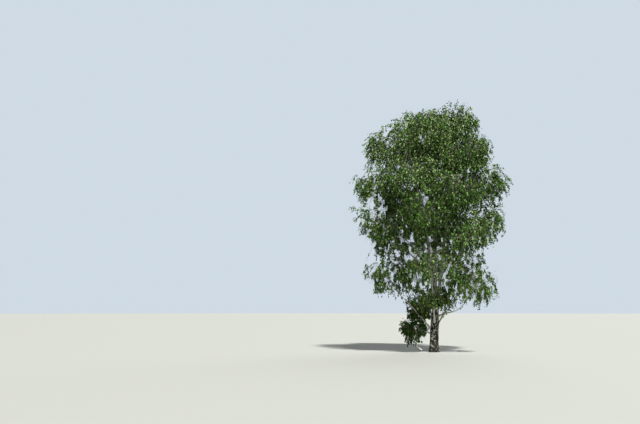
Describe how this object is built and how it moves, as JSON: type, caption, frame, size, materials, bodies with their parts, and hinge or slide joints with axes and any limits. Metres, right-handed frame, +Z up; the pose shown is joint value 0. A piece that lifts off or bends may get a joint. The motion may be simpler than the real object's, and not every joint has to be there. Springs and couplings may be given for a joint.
{
  "type": "paper birch tree",
  "caption": "Open-grown birch tree with a short rough trunk, a low fork, pale leaders and boughs, and hanging masses of leafy twigs.",
  "frame": {"origin": "middle of the flat cut under the trunk, at ground level", "axes": "+Z up; +X to the right as seen from the front; +Y away from the viewer"},
  "size_m": [9.5514, 8.5796, 14.0904],
  "materials": {
    "trunk_bark": "rough, with black fissures between pale patches",
    "white_bark": "matt papery bark with dark cross marks",
    "leaves": "leaf green, half matt"
  },
  "bodies": {
    "root": {"trunk": "trunk_bark", "leader_left": "white_bark", "leader_right": "white_bark", "leader_back": "white_bark", "bough_low": "white_bark", "bough_skirt_1": "white_bark", "bough_skirt_2": "white_bark", "bough_skirt_3": "white_bark", "bough_skirt_4": "white_bark", "bough_skirt_5": "white_bark", "bough_lower_1": "white_bark", "bough_lower_2": "white_bark", "bough_lower_3": "white_bark", "bough_lower_4": "white_bark", "bough_lower_5": "white_bark", "bough_lower_6": "white_bark", "bough_middle_1": "white_bark", "bough_middle_2": "white_bark", "bough_middle_3": "white_bark", "bough_middle_4": "white_bark", "bough_middle_5": "white_bark", "bough_middle_6": "white_bark", "bough_upper_1": "white_bark", "bough_upper_2": "white_bark", "bough_upper_3": "white_bark", "bough_upper_4": "white_bark", "bough_upper_5": "white_bark", "foliage_low": "leaves", "foliage_skirt_1": "leaves", "foliage_skirt_2": "leaves", "foliage_skirt_3": "leaves", "foliage_skirt_4": "leaves", "foliage_skirt_5": "leaves", "foliage_lower_1": "leaves", "foliage_lower_2": "leaves", "foliage_lower_3": "leaves", "foliage_lower_4": "leaves", "foliage_lower_5": "leaves", "foliage_lower_6": "leaves", "foliage_middle_1": "leaves", "foliage_middle_2": "leaves", "foliage_middle_3": "leaves", "foliage_middle_4": "leaves", "foliage_middle_5": "leaves", "foliage_middle_6": "leaves", "foliage_upper_1": "leaves", "foliage_upper_2": "leaves", "foliage_upper_3": "leaves", "foliage_upper_4": "leaves", "foliage_upper_5": "leaves", "foliage_top_left": "leaves", "foliage_top_right": "leaves", "foliage_top_back": "leaves", "foliage_inner_1": "leaves", "foliage_inner_2": "leaves", "foliage_inner_3": "leaves", "foliage_inner_4": "leaves", "foliage_inner_5": "leaves", "foliage_sprout": "leaves", "foliage_spur": "leaves"}
  },
  "joints": []
}
